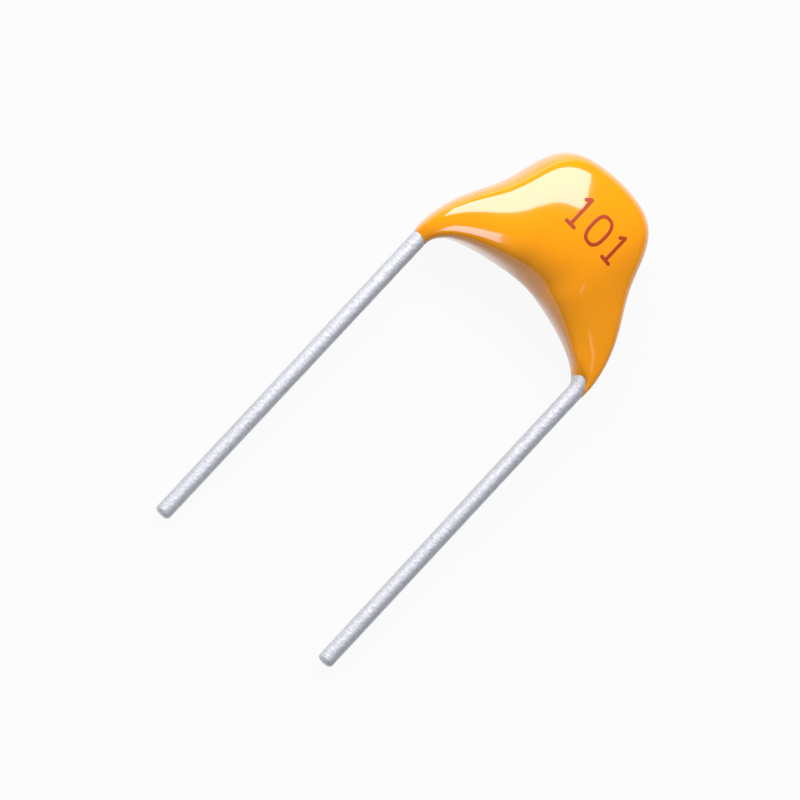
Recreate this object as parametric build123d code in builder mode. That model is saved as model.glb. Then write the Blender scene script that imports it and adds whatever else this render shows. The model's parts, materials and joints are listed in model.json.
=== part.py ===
from build123d import *
import os
from math import atan2, copysign, cos, degrees, radians, sin

# A radial-leaded multilayer ceramic capacitor, dipped in epoxy: a small ceramic chip
# stands across two tinned wires, and one coat of epoxy hangs over all of it like a
# saddle, with a foot that runs down each wire and an arch between the two feet.
#
# It is drawn upright, X from lead to lead, Y through the thickness with the marked
# face at -Y, and Z up the leads from the level where they leave the coat. At the end
# it is laid down as it rests on a table, on its back and the tips of its leads.
# All sizes are in millimetres and all angles in degrees.

# ---- driving dimensions ------------------------------------------------------------

LEAD_PITCH = 5.08
LEAD_DIAMETER = 0.40
LEAD_REACH = {-1: 8.90, 1: 8.71}       # exit level to tip, for the left and the right
LEAD_TIP_ROUND = 0.14
LEAD_BEND_RADIUS = 0.60
LEAD_KNEE_HEIGHT = 1.95                # where the wire turns up beside the chip
LEAD_TOP_HEIGHT = 3.02

CHIP_LENGTH = 2.00                     # along X, between the two wires
CHIP_HEIGHT = 1.25                     # along Z
CHIP_THICKNESS = 0.85                  # along Y, the way the layers are stacked
CHIP_CENTRE_HEIGHT = 2.50
CHIP_EDGE_BEVEL = 0.06                 # where tumbling has worn its edges
TERMINATION_THICKNESS = 0.03
TERMINATION_BAND = 0.40                # how far a cap reaches round the chip's sides

ELECTRODE_COUNT = 10
ELECTRODE_THICKNESS = 0.01
ELECTRODE_STEP = 0.06
ELECTRODE_END_GAP = 0.25               # from its free end to the other termination
ELECTRODE_SIDE_MARGIN = 0.15

SOLDER_SPREAD = 0.34                   # half its width on the chip's end face
SOLDER_LENGTH = 0.92

FOOT_RADIUS = 2.745                    # the coat's outline, from the exit level's centre
DOME_RADIUS = 4.058
SHOULDER_ANGLE = 30.08                 # from the top, where dome passes into flank
SHOULDER_SHARPNESS = 4.905
ARCH_HALF_WIDTH = 2.272
ARCH_RISE = 0.783
ARCH_ROUNDNESS = {-1: 1.86, 1: 1.602}  # 2 is an ellipse, less is more pointed
FOOT_HALF_THICKNESS = 0.23
BELLY_HALF_THICKNESS = 1.154
BELLY_TAPER = 0.904                    # how fast it thins from the top to the feet
TAPER_SHIFT = 0.249                    # how much faster it does so on the right
HIP_SLIMNESS = 0.046                   # thinner halfway down to each foot,
HIP_SHIFT = 0.047                      # and more so on the right
# Each of these pairs is for the middle of the belly and for the feet.
ARCH_BLUNTNESS = (1.024, 0.56)         # 1 is an ellipse, less is squarer
DOME_BLUNTNESS = (0.881, 0.714)
BULK_SHIFT = (0.973, 1.248)            # above 1 the bulk sits nearer the arch
SAG = (0.249, 0.14)                    # how much thinner the dome side is than the arch
# The share of its thickness that the coat gains in one quick step from its rim.
ARCH_STEP = 0.131
DOME_STEP = 0.497
STEP_SHARPNESS = 19.246
COAT_LEAN = 2.107                      # the dome's slump towards the left

COAT_END_ANGLE = 97.0                  # the spoke where each foot is still whole
COAT_SECTIONS = 17
COAT_POINTS = 16
COAT_EDGE_HEIGHT = {-1: -0.12, 1: 0.06}
COAT_EDGE_SLOPE = {-1: 6.0, 1: 38.0}   # how steeply it rises to the marked face


# ---- what the driving dimensions give -----------------------------------------------

lead_radius = LEAD_DIAMETER / 2
lead_x = LEAD_PITCH / 2
cap_face_x = CHIP_LENGTH / 2 + TERMINATION_THICKNESS
lead_top_x = cap_face_x + lead_radius
SIDES = {-1: "left", 1: "right"}


def blend(pair, lift):
    """A value between the one at the belly and the one at the feet."""
    return pair[0] * lift + pair[1] * (1 - lift)


def coat_point(angle, turn):
    """One point of the coat: across the arch, through the thickness, along a spoke.

    The spoke leaves the centre of the exit level at `angle` from straight up, and
    `turn` goes once round the coat's section there, from the arch side at 0.
    """
    lift = max(cos(radians(angle)), 0.0)
    power = ARCH_ROUNDNESS[1 if angle > 0 else -1]
    shoulder = 1 + (abs(angle) / SHOULDER_ANGLE) ** SHOULDER_SHARPNESS
    outer = FOOT_RADIUS + (DOME_RADIUS - FOOT_RADIUS) / shoulder
    across = (abs(sin(radians(angle))) / ARCH_HALF_WIDTH) ** power
    inner = (across + (lift / ARCH_RISE) ** power) ** (-1 / power)

    taper = BELLY_TAPER + TAPER_SHIFT * sin(radians(angle))
    hip = sin(radians(2 * angle))
    half = FOOT_HALF_THICKNESS
    half += (BELLY_HALF_THICKNESS - FOOT_HALF_THICKNESS) * lift**taper
    half *= 1 - HIP_SLIMNESS * hip**2 - HIP_SHIFT * hip

    swing = radians(turn)
    out = (1 - cos(swing)) / 2
    blunt = blend(ARCH_BLUNTNESS, lift) * (1 - out) + blend(DOME_BLUNTNESS, lift) * out
    step = ARCH_STEP * (1 - out) + DOME_STEP * out
    bulge = (1 - step) * abs(sin(swing)) ** blunt
    bulge += step * (1 - abs(cos(swing)) ** STEP_SHARPNESS)
    depth = half * bulge * (1 - blend(SAG, lift) * (out - 0.5))
    along = inner + (outer - inner) * out ** blend(BULK_SHIFT, lift)
    return along, copysign(depth, sin(swing))


def spoke_plane(angle):
    """The plane of the coat's section at one spoke: its x runs out along the spoke."""
    swing = radians(angle - COAT_LEAN * max(cos(radians(angle)), 0.0))
    return Plane(
        origin=(0, 0, 0),
        x_dir=(sin(swing), 0, cos(swing)),
        z_dir=(-cos(swing), 0, sin(swing)),
    )


# ---- the two tinned leads ------------------------------------------------------------


def make_lead(side):
    """A wire that rises from its tip, kinks in to the chip and ends beside its cap."""
    tip = -LEAD_REACH[side]
    with BuildPart() as lead:
        with BuildLine(Plane.XZ) as path:
            FilletPolyline(
                (side * lead_x, tip),
                (side * lead_x, 0),
                (side * lead_top_x, LEAD_KNEE_HEIGHT),
                (side * lead_top_x, LEAD_TOP_HEIGHT),
                radius=LEAD_BEND_RADIUS,
            )
        with BuildSketch(Plane((side * lead_x, 0, tip))):
            Circle(lead_radius)
        sweep(path=path.line)
        fillet(lead.edges().sort_by(Axis.Z)[0], LEAD_TIP_ROUND)
    return lead.part


leads = {side: make_lead(side) for side in SIDES}


# ---- the chip: ceramic, inner electrodes and end caps ----------------------------------


def make_block(skin):
    """The chip's block with worn edges, grown on every side by a skin."""
    with BuildPart() as block:
        with Locations((0, 0, CHIP_CENTRE_HEIGHT)):
            Box(
                CHIP_LENGTH + 2 * skin,
                CHIP_THICKNESS + 2 * skin,
                CHIP_HEIGHT + 2 * skin,
            )
        chamfer(block.edges(), CHIP_EDGE_BEVEL + skin / 2)
    return block.part


chip = make_block(0)


def make_electrode(index):
    """One thin metal layer: it meets one cap and stops short of the other."""
    side = -1 if index % 2 else 1
    y = (index - (ELECTRODE_COUNT - 1) / 2) * ELECTRODE_STEP
    with BuildPart() as electrode:
        with Locations((side * ELECTRODE_END_GAP / 2, y, CHIP_CENTRE_HEIGHT)):
            Box(
                CHIP_LENGTH - ELECTRODE_END_GAP,
                ELECTRODE_THICKNESS,
                CHIP_HEIGHT - 2 * ELECTRODE_SIDE_MARGIN,
            )
    return electrode.part


electrodes = [make_electrode(index) for index in range(ELECTRODE_COUNT)]

with BuildPart() as ceramic:
    add(chip)
    add(electrodes, mode=Mode.SUBTRACT)


def make_termination(side):
    """A metal cap dipped over one end of the chip, round all five of its faces."""
    with BuildPart() as cap:
        add(make_block(TERMINATION_THICKNESS))
        band_edge = Plane.YZ.offset(side * (CHIP_LENGTH / 2 - TERMINATION_BAND))
        split(bisect_by=band_edge, keep=Keep.TOP if side > 0 else Keep.BOTTOM)
        add(chip, mode=Mode.SUBTRACT)
    return cap.part


terminations = {side: make_termination(side) for side in SIDES}


def make_solder(side):
    """The solder between wire and cap: hollow on both sides, thin at both ends."""
    start = CHIP_CENTRE_HEIGHT - SOLDER_LENGTH / 2
    reach = lead_top_x
    with BuildPart() as solder:
        with BuildSketch(Plane.XY.offset(start)):
            with BuildLine():
                for edge in (-1, 1):
                    RadiusArc(
                        (side * cap_face_x, edge * SOLDER_SPREAD),
                        (side * reach, edge * lead_radius),
                        edge * side * SOLDER_SPREAD,
                    )
                Line((side * cap_face_x, -SOLDER_SPREAD), (side * cap_face_x, SOLDER_SPREAD))
                Line((side * reach, -lead_radius), (side * reach, lead_radius))
            make_face()
        extrude(amount=SOLDER_LENGTH)
        add(leads[side], mode=Mode.SUBTRACT)
    return solder.part


solder_joints = {side: make_solder(side) for side in SIDES}


# ---- the epoxy coat --------------------------------------------------------------------

with BuildPart() as coat:
    for step in range(COAT_SECTIONS):
        spoke = COAT_END_ANGLE * (2 * step / (COAT_SECTIONS - 1) - 1)
        turns = [90 + 360 * point / COAT_POINTS for point in range(COAT_POINTS)]
        outline = [coat_point(spoke, turn) for turn in turns]
        with BuildSketch(spoke_plane(spoke)):
            with BuildLine():
                Spline(*outline, outline[0])
            make_face()
    loft()
    # Below its lower edge each foot is bare wire: the edge is a slanted cut.
    for side in SIDES:
        slope = radians(COAT_EDGE_SLOPE[side])
        edge_plane = Plane(
            origin=(side * lead_x, 0, COAT_EDGE_HEIGHT[side]),
            x_dir=(1, 0, 0),
            z_dir=(0, sin(slope), cos(slope)),
        )
        with Locations(edge_plane):
            Box(
                4 * LEAD_DIAMETER,
                4 * LEAD_DIAMETER,
                4 * LEAD_DIAMETER,
                align=(Align.CENTER, Align.CENTER, Align.MAX),
                mode=Mode.SUBTRACT,
            )
    # The coat is cast round everything inside it.
    add(chip, mode=Mode.SUBTRACT)
    for side in SIDES:
        add([leads[side], terminations[side], solder_joints[side]], mode=Mode.SUBTRACT)


# ---- laid down at rest -------------------------------------------------------------------


def resting_tilt():
    """How far the body tips up, lying on its back, with the lead tips on the table."""
    tip_height = LEAD_TIP_ROUND - LEAD_REACH[-1]
    back = [coat_point(0, turn) for turn in range(181)]
    tilt = 0.0
    for _ in range(8):
        slant = radians(tilt)
        height, depth = max(back, key=lambda p: p[1] * cos(slant) - p[0] * sin(slant))
        tilt = degrees(atan2(depth - lead_radius, height - tip_height))
    return tilt


TILT = resting_tilt()


pieces = {
    "epoxy_coating": coat.part,
    "ceramic_dielectric": ceramic.part,
}
for side, word in SIDES.items():
    pieces[f"lead_wire_{word}"] = leads[side]
    pieces[f"end_termination_{word}"] = terminations[side]
    pieces[f"solder_joint_{word}"] = solder_joints[side]
for index, electrode in enumerate(electrodes, start=1):
    pieces[f"inner_electrode_{index:02d}"] = electrode

laid = {name: piece.rotate(Axis.X, TILT - 90) for name, piece in pieces.items()}
boxes = [piece.bounding_box() for piece in laid.values()]
low = Vector(*[min(tuple(box.min)[axis] for box in boxes) for axis in range(3)])
high = Vector(*[max(tuple(box.max)[axis] for box in boxes) for axis in range(3)])
SHIFT = Vector(-(low.X + high.X) / 2, -(low.Y + high.Y) / 2, -low.Z)

os.makedirs("parts", exist_ok=True)
for name, piece in laid.items():
    placed = piece.translate(SHIFT)
    placed.label = name
    export_step(placed, f"parts/{name}.step")
print("tilt", round(TILT, 3), "size", high - low)
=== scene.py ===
# %% [markdown]
# # A dipped ceramic capacitor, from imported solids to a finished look
#
# The real part is a ceramic chip smaller than a sesame seed, with a tinned wire soldered to each
# end. All of it is dipped in liquid epoxy, which hangs over the chip like a saddle, runs a little
# way down both wires and sets hard and glossy. A code for its value is printed on the front.
#
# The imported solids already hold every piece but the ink, at full size. This lesson gives them
# the fine shapes and finishes that a solid model doesn't carry, adds the ink, and then lights
# the part on white paper.

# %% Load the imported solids
import json
from math import atan, cos, pi, radians, sin, tan

import bpy
import numpy as np
from mathutils import Matrix, Vector, noise


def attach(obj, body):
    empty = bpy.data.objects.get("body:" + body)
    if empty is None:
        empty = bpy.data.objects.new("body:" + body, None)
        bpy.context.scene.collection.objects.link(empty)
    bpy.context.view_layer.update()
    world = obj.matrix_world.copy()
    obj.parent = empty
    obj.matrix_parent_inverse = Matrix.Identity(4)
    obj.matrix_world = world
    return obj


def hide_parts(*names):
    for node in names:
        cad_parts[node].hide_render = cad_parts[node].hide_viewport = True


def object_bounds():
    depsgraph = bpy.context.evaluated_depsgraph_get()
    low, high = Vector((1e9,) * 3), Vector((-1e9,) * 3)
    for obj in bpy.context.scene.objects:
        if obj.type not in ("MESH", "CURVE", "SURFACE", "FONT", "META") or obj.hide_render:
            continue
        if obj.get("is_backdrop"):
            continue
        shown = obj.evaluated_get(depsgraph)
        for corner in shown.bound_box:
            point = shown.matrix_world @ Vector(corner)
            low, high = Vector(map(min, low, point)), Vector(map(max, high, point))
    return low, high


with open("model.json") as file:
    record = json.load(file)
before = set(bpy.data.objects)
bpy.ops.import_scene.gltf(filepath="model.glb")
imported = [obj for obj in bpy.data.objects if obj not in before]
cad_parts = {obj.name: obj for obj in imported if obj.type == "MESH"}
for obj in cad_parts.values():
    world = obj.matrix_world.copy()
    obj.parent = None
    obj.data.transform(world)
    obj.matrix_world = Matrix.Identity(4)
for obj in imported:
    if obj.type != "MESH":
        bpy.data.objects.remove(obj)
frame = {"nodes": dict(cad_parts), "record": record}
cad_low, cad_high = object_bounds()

MM = 0.001
print("solids:", len(frame["nodes"]), "box in mm:", [round(s / MM, 3) for s in cad_high - cad_low])

# %% [markdown]
# ## Standing it up in numbers
#
# The part lies on its back, tipped a few degrees because its belly is thicker than its wires. It
# is far easier to describe upright, so every shape below is written in millimetres, with x from
# lead to lead, y through the thickness (the printed face looks to -y), and z up the leads from
# the level where they leave the coat. The two lead mounts in the record say where that frame
# is: each one sits at the middle of a lead's straight run and points down it. One small function
# then carries upright points to the place where the part lies.

# %% From upright millimetres to the model's metres
mounts = {mount["name"]: mount for mount in frame["record"]["mounts"]}
PINS = {-1: mounts["lead_left"], 1: mounts["lead_right"]}
STRAIGHT = {side: pin["dims"]["length_mm"] for side, pin in PINS.items()}
WIRE_RADIUS = PINS[-1]["dims"]["r_mm"]
LEAD_PITCH = (PINS[1]["pos_m"][0] - PINS[-1]["pos_m"][0]) / MM

# Above its straight run each wire kinks in towards the chip, and then turns up beside it.
LEAD_BEND_RADIUS = 0.60
KNEE_X, KNEE_HEIGHT, TOP_HEIGHT = 1.23, 1.95, 3.02
kink = atan((LEAD_PITCH / 2 - KNEE_X) / KNEE_HEIGHT)
bend_start = -LEAD_BEND_RADIUS * tan(kink / 2)

ACROSS = Vector((1, 0, 0))
UP = -Vector(PINS[-1]["axis"])
BACK = UP.cross(ACROSS)
middle_of_left = Vector(PINS[-1]["pos_m"])
EXIT_CENTRE = middle_of_left + (ACROSS * LEAD_PITCH + UP * (STRAIGHT[-1] - 2 * bend_start)) / 2 * MM
UPRIGHT = np.array([ACROSS, BACK, UP])


def place(points):
    """Upright points in millimetres, one a row, as metres where the part lies."""
    return np.asarray(points, float) @ UPRIGHT * MM + np.array(EXIT_CENTRE)


print("pitch", round(LEAD_PITCH, 3), "mm, wire", round(2 * WIRE_RADIUS, 2), "mm")
print("middle of the exits:", [round(v / MM, 3) for v in EXIT_CENTRE], "mm")

# %% [markdown]
# ## The shape of the coat, as a formula
#
# Nobody machines this shape: surface tension draws it while the part hangs by its leads. It
# bulges over the chip and thins out down each wire. It could be sculpted, but pushing points
# about never gets as smooth as a liquid, and every dent would show in the gloss. So it is
# written as a formula. Imagine spokes that fan out from the point midway between the exits. On
# each spoke the coat is an egg-shaped loop, from the arch between the feet to the outer
# outline. `spoke` is the angle from straight up. This first function says how far out each loop
# starts and ends, and how thick it is.

# %% How large each loop is
FOOT_RADIUS, DOME_RADIUS = 2.745, 4.058
SHOULDER_ANGLE, SHOULDER_SHARPNESS = radians(30.08), 4.905
ARCH_HALF_WIDTH, ARCH_RISE = 2.272, 0.783
ARCH_ROUNDNESS = {-1: 1.86, 1: 1.602}
FOOT_HALF_THICKNESS, BELLY_HALF_THICKNESS = 0.23, 1.148
BELLY_TAPER, TAPER_SHIFT = 0.904, 0.249
HIP_SLIMNESS, HIP_SHIFT = 0.046, 0.047


def coat_loop(spoke):
    """The arch and outline radii, half thickness and lift of the coat at each spoke."""
    lift = np.maximum(np.cos(spoke), 1e-9)        # kept above zero for the powers below
    power = np.where(spoke > 0, ARCH_ROUNDNESS[1], ARCH_ROUNDNESS[-1])
    shoulder = 1 + (np.abs(spoke) / SHOULDER_ANGLE) ** SHOULDER_SHARPNESS
    outer = FOOT_RADIUS + (DOME_RADIUS - FOOT_RADIUS) / shoulder
    across = (np.abs(np.sin(spoke)) / ARCH_HALF_WIDTH) ** power
    inner = (across + (lift / ARCH_RISE) ** power) ** (-1 / power)
    taper = BELLY_TAPER + TAPER_SHIFT * np.sin(spoke)
    half = FOOT_HALF_THICKNESS + (BELLY_HALF_THICKNESS - FOOT_HALF_THICKNESS) * lift**taper
    half *= 1 - HIP_SLIMNESS * np.sin(2 * spoke) ** 2 - HIP_SHIFT * np.sin(2 * spoke)
    return inner, outer, half, lift


top_inner, top_outer, top_half, _ = (float(value) for value in coat_loop(0.0))
print("on the middle spoke the coat runs from", round(top_inner, 2), "to", round(top_outer, 2), "mm")
print("and it is about", round(2 * top_half, 2), "mm thick there")

# %% [markdown]
# ## Once round a loop
#
# `turn` goes once round the loop: 0 at the arch, then the back, the outline, and the front. The
# loop isn't an ellipse: it is squarer, most of all at the feet, and thicker towards the arch. A
# real dip is never even either: the dome slumps a little to the left, and the right side of the
# arch is the more pointed one.

# %% The points of the skin
# Each of these has one value at the middle of the belly and one at the feet.
ARCH_BLUNTNESS = (1.024, 0.56)
DOME_BLUNTNESS = (0.881, 0.714)
BULK_SHIFT = (0.973, 1.248)
SAG = (0.249, 0.14)
# How much of its thickness the coat gains in one quick step, at the arch and the outline.
ARCH_STEP, DOME_STEP, STEP_SHARPNESS = 0.131, 0.497, 19.246
COAT_LEAN = radians(2.107)


def blend(pair, lift):
    """A value between the one at the belly and the one at the feet."""
    return pair[0] * lift + pair[1] * (1 - lift)


def coat_depth(half, lift, turn):
    """How far behind (or, when negative, before) its middle plane the skin stands."""
    out = (1 - np.cos(turn)) / 2
    thinning = 1 - blend(SAG, lift) * (out - 0.5)
    blunt = blend(ARCH_BLUNTNESS, lift) * (1 - out) + blend(DOME_BLUNTNESS, lift) * out
    step = ARCH_STEP * (1 - out) + DOME_STEP * out
    bulge = (1 - step) * np.abs(np.sin(turn)) ** blunt
    bulge += step * (1 - np.abs(np.cos(turn)) ** STEP_SHARPNESS)
    return np.sign(np.sin(turn)) * bulge * half * thinning


def coat_point(spoke, turn):
    """Upright points on the skin, from arrays of spokes and turns in radians."""
    inner, outer, half, lift = coat_loop(spoke)
    along = inner + (outer - inner) * ((1 - np.cos(turn)) / 2) ** blend(BULK_SHIFT, lift)
    swing = spoke - COAT_LEAN * lift
    depth = coat_depth(half, lift, turn)
    return np.stack([along * np.sin(swing), depth, along * np.cos(swing)], -1)


top_of_dome = coat_point(np.zeros(1), np.array([pi]))[0, 2]
print("the dome stands", round(float(top_of_dome), 2), "mm above the exits")

# %% [markdown]
# ## Helpers for colour and nodes
#
# Colours are picked on a screen as sRGB hex values, while Blender's shaders work in linear light,
# so one function converts them everywhere. A material is a graph of nodes, and one function
# adds a node of any kind: settings go in by name, and each input is either a plain value or the
# output of another node.

# %% Colour and node helpers


def colour(hex_value):
    """An sRGB hex colour such as "#ffa600" as linear red, green, blue and alpha."""
    parts = [int(hex_value[i : i + 2], 16) / 255 for i in (1, 3, 5)]
    return [p / 12.92 if p <= 0.04045 else ((p + 0.055) / 1.055) ** 2.4 for p in parts] + [1.0]


def add_node(tree, kind, inputs=None, **settings):
    """Adds one node with its settings, and fills or links its inputs by name or number."""
    made = tree.nodes.new(kind)
    for name, value in settings.items():
        setattr(made, name, value)
    for key, value in (inputs or {}).items():
        if isinstance(value, bpy.types.NodeSocket):
            tree.links.new(value, made.inputs[key])
        else:
            made.inputs[key].default_value = value
    return made


def new_material(name):
    """An empty node material and its tree."""
    material = bpy.data.materials.new(name)
    material.use_nodes = True
    material.node_tree.nodes.clear()
    return material, material.node_tree


print("orange in linear light:", [round(c, 3) for c in colour("#ffa600")])

# %% [markdown]
# ## Dipped epoxy
#
# The coat is pigmented epoxy that was dipped and cured, so it is opaque, and it is glossy
# because its surface levelled out while it was liquid. The eye gets a saturated orange, sharp
# bright reflections, and a faint waviness in them. Cured epoxy has an IOR near 1.55, and the coat
# layer stands for a thin skin of almost clear resin. The reflections are tinted very slightly,
# only so that the highlights stay cream and don't turn greenish. The colour drifts by a
# shade, in patches about two millimetres wide, and the orange peel in the gloss is finer, about
# four waves to the millimetre. Both come from noise in the object's own space, which needs no
# unwrapping and no images.

# %% The epoxy's material
epoxy, tree = new_material("dipped_epoxy")
where = add_node(tree, "ShaderNodeTexCoord").outputs["Object"]
drift = add_node(tree, "ShaderNodeTexNoise", {"Vector": where, "Scale": 0.5 / MM, "Detail": 3.0})
shade = add_node(
    tree,
    "ShaderNodeMix",
    {"Factor": drift.outputs["Fac"], "A": colour("#fa9e00"), "B": colour("#ffa900")},
    data_type="RGBA",
)
peel = add_node(tree, "ShaderNodeTexNoise", {"Vector": where, "Scale": 4.0 / MM, "Detail": 1.0})
waves = add_node(
    tree, "ShaderNodeBump", {"Strength": 0.12, "Distance": 0.01 * MM, "Height": peel.outputs["Fac"]}
)
surface = add_node(
    tree,
    "ShaderNodeBsdfPrincipled",
    {
        "Base Color": shade.outputs["Result"],
        "Roughness": 0.12,
        "IOR": 1.55,
        "Coat Weight": 0.6,
        "Coat Roughness": 0.03,
        "Coat IOR": 1.55,
        "Specular Tint": colour("#ffdcff"),
        "Normal": waves.outputs["Normal"],
        "Coat Normal": waves.outputs["Normal"],
    },
)
add_node(tree, "ShaderNodeOutputMaterial", {"Surface": surface.outputs["BSDF"]})
print("material:", epoxy.name, len(tree.nodes), "nodes")

# %% [markdown]
# ## Helpers for meshes
#
# The skin and both wires are made alike: rings of points, one after another, joined by quads and
# closed by a cap at each end. One helper lists those faces. The other turns upright points into
# a smooth object with its material, rides it on the part's one body, and hides the solids that it
# stands in for.

# %% Mesh helpers


def tube_faces(rings, around):
    """Quads between successive rings of points, and one cap on each end."""
    faces = []
    for row in range(rings - 1):
        low, high = row * around, (row + 1) * around
        for step in range(around):
            beside = (step + 1) % around
            faces.append((low + step, low + beside, high + beside, high + step))
    last = (rings - 1) * around
    return faces + [tuple(reversed(range(around))), tuple(range(last, last + around))]


def make_piece(name, points, faces, material, replaced=()):
    """A smooth object from upright points, riding on the part and standing for CAD nodes."""
    mesh = bpy.data.meshes.new(name)
    mesh.from_pydata(place(points).tolist(), [], faces)
    mesh.materials.append(material)
    mesh.shade_smooth()
    piece = bpy.data.objects.new(name, mesh)
    bpy.context.scene.collection.objects.link(piece)
    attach(piece, "root")
    if replaced:
        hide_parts(*replaced)
    return piece


print("faces of a tube of 2 rings of 6 points:", len(tube_faces(2, 6)))

# %% [markdown]
# ## Where the feet close on the wires
#
# The last rings of each foot bend in to the wire like the meniscus of a liquid, along a smooth
# curve from the body to the line of contact. That line isn't level. On the left it runs almost
# straight round the wire, and on the right it has crept up the front of the wire and left a
# small notch. A boolean cut would leave a hard edge there, so the lip is part of the skin.

# %% The lip of a foot
LIP_RINGS = 12
LIP_SPOKE = {-1: radians(84), 1: radians(77)}     # where each foot starts to close on its wire
LIP_FULLNESS = 0.6
CONTACT_RADIUS = 0.98 * WIRE_RADIUS
CONTACT_LEVEL = {-1: -0.15, 1: -0.17}
CONTACT_TILT = {-1: -0.04, 1: 0.10}               # how much higher it is on the arch's side
CONTACT_NOTCH = {-1: 0.02, 1: 0.37}               # how far it climbs on the front
NOTCH_SHARPNESS = 3                               # more makes the notch narrower
SPOKE_NUDGE = 0.01                                # a small step back, to find the skin's slope


def foot_lip(side, turns):
    """The rings that lead from the end of the body on to one wire."""
    edge = np.full_like(turns, side * LIP_SPOKE[side])
    ring = coat_point(edge, turns)
    slope = ring - coat_point(edge - side * SPOKE_NUDGE, turns)
    slope /= np.linalg.norm(slope, axis=1, keepdims=True)
    level = CONTACT_LEVEL[side] + CONTACT_TILT[side] * np.cos(turns)
    level += CONTACT_NOTCH[side] * ((1 - np.sin(turns)) / 2) ** NOTCH_SHARPNESS
    contact = np.stack(
        [
            side * (LEAD_PITCH / 2 - CONTACT_RADIUS * np.cos(turns)),
            CONTACT_RADIUS * np.sin(turns),
            level,
        ],
        -1,
    )
    reach = np.linalg.norm(contact - ring, axis=1, keepdims=True)
    shoulder = ring + slope * reach * LIP_FULLNESS
    steps = np.linspace(0, 1, LIP_RINGS + 1)[1:]
    return [(1 - t) ** 2 * ring + 2 * t * (1 - t) * shoulder + t * t * contact for t in steps]


AROUND = 144
turns = np.linspace(0, 2 * pi, AROUND, endpoint=False)
lips = {side: foot_lip(side, turns) for side in PINS}
lowest = [round(float(np.min(np.array(lips[side])[:, :, 2])), 2) for side in PINS]
print("the feet reach down to", lowest, "mm from the exits")

# %% [markdown]
# ## The skin of the coat
#
# The skin is a grid: rings round the body, from one foot to the other, with a lip at each end.
# It ends just inside the wires, where two caps close it, so that the coat stays one watertight
# body.

# %% Build the skin
BODY_RINGS = 250
spokes = np.linspace(-LIP_SPOKE[-1], LIP_SPOKE[1], BODY_RINGS)
body = [coat_point(np.full_like(turns, spoke), turns) for spoke in spokes]
rings = lips[-1][::-1] + body + lips[1]
skin = make_piece(
    "coating_skin",
    np.concatenate(rings),
    tube_faces(len(rings), AROUND),
    epoxy,
    ["epoxy_coating"],
)
print("skin:", len(skin.data.polygons), "faces")

# %% [markdown]
# ## Tinned wire
#
# The leads are copper wire with a coat of tin. The tin goes on hot and is wiped as the wire is
# drawn through, and later the taped reels and trimming tools scuff it. That leaves a soft satin
# silver: it shines along the side that faces the light, and it is mottled with shallow dents
# about a quarter of the wire's width. The pattern is squeezed along the wire, so that the marks
# run a little further round it than along it. Each dent is a shade darker and duller than the
# metal between, and a bump makes it catch the light: modelled dents this small would need far
# more faces. Tin is a metal, so metallic is 1 and its colour tints the reflections.

# %% The wire's material
tinned, tree = new_material("wiped_tin")
where = add_node(tree, "ShaderNodeTexCoord").outputs["Object"]
squeezed = add_node(tree, "ShaderNodeMapping", {"Vector": where, "Scale": (1.0, 1.7, 1.0)})
dents = add_node(
    tree,
    "ShaderNodeTexNoise",
    {"Vector": squeezed.outputs["Vector"], "Scale": 11.0 / MM, "Detail": 5.0},
)
tone = add_node(
    tree,
    "ShaderNodeMix",
    {"Factor": dents.outputs["Fac"], "A": colour("#bfc5c4"), "B": colour("#e6edeb")},
    data_type="RGBA",
)
dullness = add_node(
    tree, "ShaderNodeMapRange", {"Value": dents.outputs["Fac"], "To Min": 0.84, "To Max": 0.64}
)
relief = add_node(
    tree, "ShaderNodeBump", {"Strength": 0.9, "Distance": 0.02 * MM, "Height": dents.outputs["Fac"]}
)
surface = add_node(
    tree,
    "ShaderNodeBsdfPrincipled",
    {
        "Base Color": tone.outputs["Result"],
        "Metallic": 1.0,
        "Roughness": dullness.outputs["Result"],
        "Normal": relief.outputs["Normal"],
    },
)
add_node(tree, "ShaderNodeOutputMaterial", {"Surface": surface.outputs["BSDF"]})
print("material:", tinned.name, len(tree.nodes), "nodes")

# %% [markdown]
# ## The two leads
#
# Each wire rises straight from its cut tip, kinks inward inside the epoxy and ends beside the
# chip. The kinks aren't level: the left one is buried, and the right one starts just inside the
# notch of its foot. A bevelled curve object would be the quick way. Here each wire is swept by
# hand instead, so that its tip can be the small dome that the shears leave and its tin can be a
# little uneven. It starts as a middle line with a radius at every point, and where the line
# turns, an arc takes the corner's place.

# %% The middle lines of the wires
LEAD_TIP_ROUND = 0.10                             # how far in the shears rounded the rim
TIP_BELOW_MOUNT = 0.135                           # a pin mount ends this far above its wire's tip
KINK_LEVEL = {-1: 0.30, 1: 0.0}                   # where each wire turns in towards the chip
WIRE_STEP = 0.05
RUN_CLEARANCE = 1.5                               # steps kept free between the run and the bend
DOME_RINGS, ARC_PIECES = 8, 12


def bent_line(corners, radius):
    """Points along a line in the x-z plane, with an arc in place of each inner corner."""
    corners = [Vector(corner) for corner in corners]
    line = [corners[0]]
    for before, corner, after in zip(corners, corners[1:], corners[2:]):
        back, ahead = (before - corner).normalized(), (after - corner).normalized()
        turned = pi - back.angle(ahead)
        centre = corner + (back + ahead).normalized() * radius / cos(turned / 2)
        spoke = corner + back * radius * tan(turned / 2) - centre
        sense = 1 if spoke.cross(-back) > 0 else -1
        for step in range(ARC_PIECES + 1):
            line.append(centre + Matrix.Rotation(sense * turned * step / ARC_PIECES, 2) @ spoke)
    return line + [corners[-1]]


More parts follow.
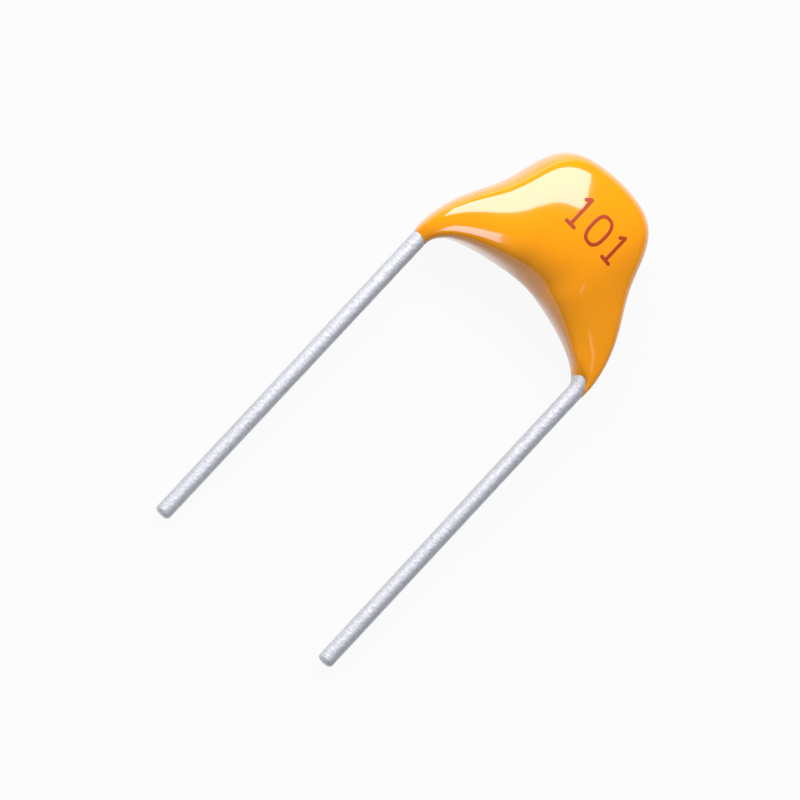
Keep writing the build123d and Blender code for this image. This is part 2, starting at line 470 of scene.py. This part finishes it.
def lead_rings(side):
    """The middle line of one wire as (x, z) points, and the radius at each of them."""
    x, knee = side * LEAD_PITCH / 2, side * KNEE_X
    tip = bend_start - STRAIGHT[side] - TIP_BELOW_MOUNT
    dome = np.linspace(0, pi / 2, DOME_RINGS)
    centres = [(x, tip + LEAD_TIP_ROUND * (1 - cos(a))) for a in dome]
    radii = [WIRE_RADIUS - LEAD_TIP_ROUND * (1 - sin(a)) for a in dome]
    run = np.linspace(tip + LEAD_TIP_ROUND, bend_start, int(STRAIGHT[side] / WIRE_STEP))[1:-1]
    centres += [(x, z) for z in run[run < bend_start - RUN_CLEARANCE * WIRE_STEP]]
    corners = [
        (x, bend_start - WIRE_STEP),
        (x, KINK_LEVEL[side]),
        (knee, KNEE_HEIGHT),
        (knee, TOP_HEIGHT),
    ]
    centres += [tuple(p) for p in bent_line(corners, LEAD_BEND_RADIUS)]
    radii += [WIRE_RADIUS] * (len(centres) - len(radii))
    return np.array(centres), np.array(radii)


print("rings per wire:", [len(lead_rings(side)[1]) for side in PINS])

# %% [markdown]
# ## Sweeping the wires
#
# A ring of points goes round the middle line at each of its points, square to the line, and
# quads join the rings. The wiped tin is uneven by a few thousandths of a millimetre, so every
# point is drawn in a little, by a smooth noise that is the same on each run.

# %% Sweep the leads
WIRE_SIDES = 48
TIN_UNEVENNESS, UNEVEN_PER_MM = 0.006, 4


def build_lead(side, name, node):
    """One wire, ring by ring."""
    centres, radii = lead_rings(side)
    along = np.gradient(centres, axis=0)
    along[:DOME_RINGS] = (0, 1)
    along /= np.linalg.norm(along, axis=1, keepdims=True)
    spin = np.linspace(0, 2 * pi, WIRE_SIDES, endpoint=False)
    points = []
    for (x, z), (along_x, along_z), radius in zip(centres, along, radii):
        for angle in spin:
            out = Vector((cos(angle) * along_z, sin(angle), -cos(angle) * along_x))
            low_spot = noise.noise(Vector((x, 0, z)) * UNEVEN_PER_MM + out) * 0.5 + 0.5
            points.append(Vector((x, 0, z)) + out * (radius - TIN_UNEVENNESS * low_spot))
    faces = tube_faces(len(centres), WIRE_SIDES)
    return make_piece(name, points, faces, tinned, [node])


leads = [
    build_lead(-1, "tinned_lead_left", "lead_wire_left"),
    build_lead(1, "tinned_lead_right", "lead_wire_right"),
]
print("leads:", [len(lead.data.polygons) for lead in leads], "faces")

# %% [markdown]
# ## Printing ink
#
# The code is stamped on with a red-brown marking ink after the epoxy has cured. The ink dries
# to a thin satin film, so it dulls the gloss under it, and its colour is thicker in some spots
# than in others. It could be an image laid over the epoxy, but a film of its own keeps its edges
# sharp at any distance.

# %% The ink's material
ink, tree = new_material("marking_ink")
where = add_node(tree, "ShaderNodeTexCoord").outputs["Object"]
blotch = add_node(tree, "ShaderNodeTexNoise", {"Vector": where, "Scale": 10.0 / MM, "Detail": 2.0})
tone = add_node(
    tree,
    "ShaderNodeMix",
    {"Factor": blotch.outputs["Fac"], "A": colour("#a43404"), "B": colour("#b8440e")},
    data_type="RGBA",
)
surface = add_node(
    tree,
    "ShaderNodeBsdfPrincipled",
    {"Base Color": tone.outputs["Result"], "Roughness": 0.5, "IOR": 1.48},
)
add_node(tree, "ShaderNodeOutputMaterial", {"Surface": surface.outputs["BSDF"]})
print("material:", ink.name, len(tree.nodes), "nodes")

# %% [markdown]
# ## The printed value
#
# The code says how large the capacitance is, as on any capacitor: two digits and the number of
# zeros, in picofarads, so 101 is 100 pF. A font would give letters of its own style, and they
# would have to be bent over the dome. Here each digit is a few strokes instead, and a function
# tells how far any point lies from them.

# %% The strokes of the digits
VALUE_CODE = "101"
DIGIT_HEIGHT, STROKE_WIDTH = 0.75, 0.086
ZERO_HALF_WIDTH, ZERO_SQUARENESS = 0.215, 2.6     # a squareness of 2 would be an ellipse
BAR_HALF_WIDTH = 0.12                             # the bar that the figure one stands on
FLAG_REACH, FLAG_DROP = 0.11, 0.09                # and the small flag at its top
FLAG_TURN = (-0.02, -0.01)                        # where the flag bends, from the stem's top


def oval(half_width, half_height, squareness, pieces=60):
    """A closed, slightly squared oval."""
    angles = np.linspace(0, 2 * pi, pieces + 1)
    sines, cosines = np.sin(angles), np.cos(angles)
    x = np.sign(sines) * np.abs(sines) ** (2 / squareness) * half_width
    z = np.sign(cosines) * np.abs(cosines) ** (2 / squareness) * half_height
    return np.stack([x, z], -1)


TOP = DIGIT_HEIGHT / 2
DIGIT_STROKES = {
    "0": [oval(ZERO_HALF_WIDTH, TOP, ZERO_SQUARENESS)],
    "1": [
        np.array(
            [
                (-FLAG_REACH, TOP - FLAG_DROP),
                (FLAG_TURN[0], TOP + FLAG_TURN[1]),
                (0.0, TOP),
                (0.0, -TOP),
            ]
        ),
        np.array([(-BAR_HALF_WIDTH, -TOP), (BAR_HALF_WIDTH, -TOP)]),
    ],
}


def ink_distance(points, strokes):
    """How far each point lies outside the nearest stroke; negative inside it."""
    best = np.full(len(points), np.inf)
    for stroke in strokes:
        for start, end in zip(stroke, stroke[1:]):
            span = end - start
            share = np.clip((points - start) @ span / (span @ span), 0, 1)
            best = np.minimum(best, np.linalg.norm(points - start - share[:, None] * span, axis=1))
    return best - STROKE_WIDTH / 2


print("digits with strokes:", sorted(DIGIT_STROKES), "and the code is", VALUE_CODE)

# %% [markdown]
# ## A sheet of ink
#
# A fine grid of squares is laid over the digit, and the squares that lie in a stroke are kept.
# Their outer points are then pulled on to the stroke's edge, so that the edge is smooth and not
# a staircase.

# %% Cut a digit out of a grid
INK_GRID = 0.011
CELL_HALF_WIDTH, CELL_HALF_HEIGHT = 0.32, 0.46    # the grid round one digit
PULL_STEP = 1e-4                                  # to find which way the edge lies


def ink_sheet(strokes):
    """The flat points of one digit, its quads, and the sides that only one quad has."""
    across = np.arange(-CELL_HALF_WIDTH, CELL_HALF_WIDTH, INK_GRID)
    upward = np.arange(-CELL_HALF_HEIGHT, CELL_HALF_HEIGHT, INK_GRID)
    grid = np.stack(np.meshgrid(across, upward), -1)
    squares = (grid[:-1, :-1] + grid[1:, 1:]) / 2
    kept = ink_distance(squares.reshape(-1, 2), strokes).reshape(squares.shape[:2]) < 0
    rows, columns = np.nonzero(kept)
    width = grid.shape[1]
    corner = rows * width + columns
    quads = np.stack([corner, corner + 1, corner + width + 1, corner + width], -1)
    sides = np.concatenate([quads[:, [0, 1]], quads[:, [1, 2]], quads[:, [2, 3]], quads[:, [3, 0]]])
    known = {tuple(side) for side in sides.tolist()}
    rim = [(a, b) for a, b in known if (b, a) not in known]
    flat = grid.reshape(-1, 2).copy()
    gap = ink_distance(flat, strokes)
    pull_x = (ink_distance(flat + (PULL_STEP, 0), strokes) - gap) / PULL_STEP
    pull_z = (ink_distance(flat + (0, PULL_STEP), strokes) - gap) / PULL_STEP
    edge = np.unique([a for a, b in rim])
    flat[edge, 0] -= gap[edge] * pull_x[edge]
    flat[edge, 1] -= gap[edge] * pull_z[edge]
    used = np.unique(quads)
    order = np.full(len(flat), -1)
    order[used] = np.arange(len(used))
    return flat[used], order[quads], [(int(order[a]), int(order[b])) for a, b in rim]


sheets = {digit: ink_sheet(DIGIT_STROKES[digit]) for digit in DIGIT_STROKES}
print("quads per digit:", {digit: len(sheet[1]) for digit, sheet in sheets.items()})

# %% [markdown]
# ## Laying the ink on the coat
#
# The sheet is laid on the coat from the front: the formula of the coat, read backwards, gives
# its depth at any place. A second layer of points a little inside the coat closes the sheet into
# a thin solid, so that it has the thickness of an ink film and no gap under it.

# %% Print the value
DIGIT_PITCH = 0.594
PRINT_CENTRE = (0.200, 2.705)
PRINT_SLOPE = radians(-1.8)
PRINT_STRETCH = (1.03, 0.99, 0.94)                # each digit's height, less towards the right
INK_THICKNESS, INK_BITE = 0.005, 0.006
LEAN_ROUNDS = 8                                   # enough to find the spoke that a point is on


def front_of_coat(x, z):
    """The depth of the coat's front at upright x and z."""
    spoke = angle = np.arctan2(x, z)
    for _ in range(LEAN_ROUNDS):
        spoke = angle + COAT_LEAN * np.maximum(np.cos(spoke), 0)
    inner, outer, half, lift = coat_loop(spoke)
    out = np.clip((np.hypot(x, z) - inner) / (outer - inner), 0, 1) ** (1 / blend(BULK_SHIFT, lift))
    return -coat_depth(half, lift, np.arccos(1 - 2 * out))


def print_digit(sheet, centre, stretch, name):
    """One digit of ink, wrapped on to the front of the coat."""
    flat, quads, rim = sheet
    local = flat * (1, stretch)
    turn = np.array([[cos(PRINT_SLOPE), sin(PRINT_SLOPE)], [-sin(PRINT_SLOPE), cos(PRINT_SLOPE)]])
    x, z = (local @ turn + centre).T
    face = front_of_coat(x, z)
    top = np.stack([x, face - INK_THICKNESS, z], -1)
    under = np.stack([x, face + INK_BITE, z], -1)
    count = len(flat)
    faces = [tuple(quad) for quad in quads.tolist()]
    faces += [tuple(reversed([point + count for point in quad])) for quad in faces]
    faces += [(far, near, near + count, far + count) for near, far in rim]
    return make_piece(name, np.concatenate([top, under]), faces, ink)


digits = []
for place_in_code, digit in enumerate(VALUE_CODE):
    shift = (place_in_code - (len(VALUE_CODE) - 1) / 2) * DIGIT_PITCH
    centre = np.array(PRINT_CENTRE) + (shift * cos(PRINT_SLOPE), shift * sin(PRINT_SLOPE))
    name = f"value_digit_{place_in_code + 1}"
    digits.append(print_digit(sheets[digit], centre, PRINT_STRETCH[place_in_code], name))
print("digits:", [len(digit.data.polygons) for digit in digits], "faces")

# %% [markdown]
# ## The parts inside
#
# Under the epoxy lie the chip and its joints, and they keep their solids. They show only when the
# coat is taken off, for a cutaway, but then they should look right. The chip is barium titanate
# ceramic, sintered dense and matte, with a fine grain. Its electrodes are nickel paste fired in
# between the layers. The caps are plated with matte tin, and the solder froze bright and a
# little rippled. The real grains of ceramic and metal are about a thousandth of a millimetre,
# too fine to show, so they are drawn some twenty times coarser. One table holds what differs,
# and one function builds a material from it.

# %% Finish the inner solids
INNER_FINISHES = {
    # dark and light tone, metallic, roughness, grain in millimetres, start of the nodes' names
    "titanate_ceramic": ("#8f7a5e", "#a89272", 0.0, 0.60, 0.02, "ceramic_dielectric"),
    "fired_nickel": ("#8c887e", "#aca89c", 1.0, 0.45, 0.02, "inner_electrode"),
    "tin_plating": ("#bdbdc2", "#dedee4", 1.0, 0.40, 0.03, "end_termination"),
    "tin_solder": ("#b4b4ba", "#e2e2e8", 1.0, 0.22, 0.12, "solder_joint"),
}


def inner_finish(name, dark, light, metallic, roughness, grain):
    """A speckled finish: two close tones and a fine relief, both at one grain size."""
    material, tree = new_material(name)
    where = add_node(tree, "ShaderNodeTexCoord").outputs["Object"]
    speckle = add_node(tree, "ShaderNodeTexNoise", {"Vector": where, "Scale": 1 / (grain * MM)})
    tone = add_node(
        tree,
        "ShaderNodeMix",
        {"Factor": speckle.outputs["Fac"], "A": colour(dark), "B": colour(light)},
        data_type="RGBA",
    )
    relief = add_node(
        tree,
        "ShaderNodeBump",
        {"Strength": 0.3, "Distance": grain / 5 * MM, "Height": speckle.outputs["Fac"]},
    )
    surface = add_node(
        tree,
        "ShaderNodeBsdfPrincipled",
        {
            "Base Color": tone.outputs["Result"],
            "Metallic": metallic,
            "Roughness": roughness,
            "Normal": relief.outputs["Normal"],
        },
    )
    add_node(tree, "ShaderNodeOutputMaterial", {"Surface": surface.outputs["BSDF"]})
    return material


for name, (dark, light, metallic, roughness, grain, start) in INNER_FINISHES.items():
    finish = inner_finish(name, dark, light, metallic, roughness, grain)
    dressed = [solid for node, solid in frame["nodes"].items() if node.startswith(start)]
    for solid in dressed:
        for material_slot in solid.material_slots:
            material_slot.material = finish
    print(name, "on", len(dressed), "solids")

# %% [markdown]
# ## A sheet of white paper
#
# The part lies on a plain sheet of white paper. The camera and glossy surfaces see the sheet as
# almost pure white through the Light Path node, and the rest is honest diffuse paper, which
# keeps the faint shadow that holds the part down. The paper's own tone is a pale grey, so that
# it doesn't throw too much light up under the coat, and its fibres are drawn coarser than they
# are.

# %% Lay the paper
SHEET = 400 * MM
FLOOR_WHITENESS = 0.93
paper, tree = new_material("white_paper")
rays = add_node(tree, "ShaderNodeLightPath").outputs
seen = rays["Is Camera Ray"]
for kind_of_ray in ("Is Glossy Ray", "Is Transmission Ray"):
    either = add_node(tree, "ShaderNodeMath", {0: seen, 1: rays[kind_of_ray]}, operation="MAXIMUM")
    seen = either.outputs["Value"]
share = add_node(tree, "ShaderNodeMath", {0: seen, 1: FLOOR_WHITENESS}, operation="MULTIPLY")
fibres = add_node(tree, "ShaderNodeTexNoise", {"Scale": 2.0 / MM})
tone = add_node(
    tree,
    "ShaderNodeMix",
    {"Factor": fibres.outputs["Fac"], "A": colour("#b6b6b6"), "B": colour("#bebebe")},
    data_type="RGBA",
)
matte = add_node(tree, "ShaderNodeBsdfDiffuse", {"Color": tone.outputs["Result"]})
white = add_node(tree, "ShaderNodeEmission", {"Color": colour("#ffffff"), "Strength": 1.0})
mixed = add_node(
    tree,
    "ShaderNodeMixShader",
    {0: share.outputs["Value"], 1: matte.outputs["BSDF"], 2: white.outputs["Emission"]},
)
add_node(tree, "ShaderNodeOutputMaterial", {"Surface": mixed.outputs["Shader"]})
floor_mesh = bpy.data.meshes.new("paper_floor")
corners = [(-SHEET, -SHEET, 0), (SHEET, -SHEET, 0), (SHEET, SHEET, 0), (-SHEET, SHEET, 0)]
floor_mesh.from_pydata(corners, [], [(0, 1, 2, 3)])
floor_mesh.materials.append(paper)
floor = bpy.data.objects.new("paper_floor", floor_mesh)
bpy.context.scene.collection.objects.link(floor)
floor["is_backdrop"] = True
print("floor:", 2 * SHEET, "m wide,", len(tree.nodes), "nodes")

# %% [markdown]
# ## The room
#
# The room around the part is dim and a little blue. It fills the shadows, and cools the sides
# that face away from the lamps. No walls are built: one background colour stands for them all.

# %% Light the room
world = bpy.data.worlds.new("studio_room")
bpy.context.scene.world = world
world.use_nodes = True
tree = world.node_tree
tree.nodes.clear()
room = add_node(tree, "ShaderNodeBackground", {"Color": colour("#ccd8ff"), "Strength": 0.16})
add_node(tree, "ShaderNodeOutputWorld", {"Surface": room.outputs["Background"]})
print("room:", world.name)

# %% [markdown]
# ## The camera
#
# A long lens from far away keeps the two leads parallel. It looks at the printed face from ten
# degrees to one side and ten degrees below, and it is rolled by 43 degrees, so that the leads
# run down to the left.

# %% Place the camera
VIEW_TURN, VIEW_LIFT, VIEW_ROLL = radians(-10), radians(-10), radians(42.96)
FRAME_WIDTH = 18.30                               # how much the square view takes in, in mm
AIM_ACROSS, AIM_UP = -0.30, -3.08                 # the view's middle, from the exits' centre
FOCAL_LENGTH, SENSOR_WIDTH = 600.0, 36.0
NEAREST_SEEN, FARTHEST_SEEN = 0.01, 5.0           # in metres
across = Vector((cos(VIEW_TURN), sin(VIEW_TURN), 0))
upward = Vector((-sin(VIEW_TURN) * sin(VIEW_LIFT), cos(VIEW_TURN) * sin(VIEW_LIFT), cos(VIEW_LIFT)))
toward = across.cross(upward)
lens = bpy.data.cameras.new("long_lens")
lens.lens, lens.sensor_width = FOCAL_LENGTH, SENSOR_WIDTH
lens.clip_start, lens.clip_end = NEAREST_SEEN, FARTHEST_SEEN
camera = bpy.data.objects.new("front_camera", lens)
bpy.context.scene.collection.objects.link(camera)
bpy.context.scene.camera = camera
stand_up = Matrix([ACROSS, BACK, UP]).transposed()
right = stand_up @ (across * cos(VIEW_ROLL) + upward * sin(VIEW_ROLL))
above = stand_up @ (upward * cos(VIEW_ROLL) - across * sin(VIEW_ROLL))
CAMERA_AXES = Matrix([right, above, stand_up @ toward]).transposed()
distance = FRAME_WIDTH * FOCAL_LENGTH / SENSOR_WIDTH
spot = across * AIM_ACROSS + upward * AIM_UP + toward * distance
camera.matrix_world = Matrix.Translation(Vector(place([spot])[0])) @ CAMERA_AXES.to_4x4()
print("the camera stands", round(distance), "mm away")

# %% [markdown]
# ## The lights
#
# Gloss shows the shape of whatever lights it, so the softboxes matter as much as the material.
# The broad key draws the long highlight over the coat's upper shoulder and lights the part. The
# back strip grazes the part from above, for the thin bright edge of the dome. The low
# softbox lays a streak just above the arch, and the small right strip a faint one beside the
# right foot. Each direction is written as the camera sees it: right, up, and towards the
# camera.

# %% Hang the softboxes
LIGHT_DISTANCE = 100.0
LIT_SPOT = (0, 0, 2.5)                            # every lamp looks at the middle of the coat


def softbox(name, direction, width_way, width, height, radiance, tint):
    """A rectangular lamp that faces the coat; its sizes are shares of its distance."""
    way = (CAMERA_AXES @ Vector(direction)).normalized()
    side = CAMERA_AXES @ Vector(width_way)
    side = (side - way * side.dot(way)).normalized()
    data = bpy.data.lights.new(name, "AREA")
    data.shape = "RECTANGLE"
    data.size, data.size_y = width * LIGHT_DISTANCE * MM, height * LIGHT_DISTANCE * MM
    data.energy = radiance * pi * data.size * data.size_y
    data.color = colour(tint)[:3]
    lamp = bpy.data.objects.new(name, data)
    bpy.context.scene.collection.objects.link(lamp)
    axes = Matrix([side, way.cross(side), way]).transposed()
    spot = Vector(place([LIT_SPOT])[0]) + way * LIGHT_DISTANCE * MM
    lamp.matrix_world = Matrix.Translation(spot) @ axes.to_4x4()
    return lamp


SOFTBOXES = {
    # direction, the way its width runs, width and height, radiance, tint
    "key_softbox": ((0.166, 0.663, 0.730), (0.984, -0.162, -0.077), 1.243, 0.541, 8.6, "#fff2fb"),
    "back_strip": ((-0.12, 0.99, 0.02), (1, 0, -0.32), 0.9, 0.14, 2.4, "#ffffff"),
    "low_softbox": ((-0.243, -0.346, 0.907), (0.238, 0.871, 0.429), 0.540, 0.153, 5.9, "#deeaff"),
    "right_strip": ((0.460, -0.539, 0.706), (0.832, 0.546, -0.097), 0.134, 0.043, 1.3, "#ffffff"),
}
for name, setting in SOFTBOXES.items():
    softbox(name, *setting)
print("lights:", len(bpy.data.lights))

# %% Measure and finish
bpy.context.scene.view_settings.view_transform = "Standard"
low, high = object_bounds()
print("visual box in mm:", [round(s / MM, 3) for s in high - low])
spare = [*(low - cad_low), *(cad_high - high)]
print("spare inside the solids' box in mm:", [round(gap / MM, 4) for gap in spare])
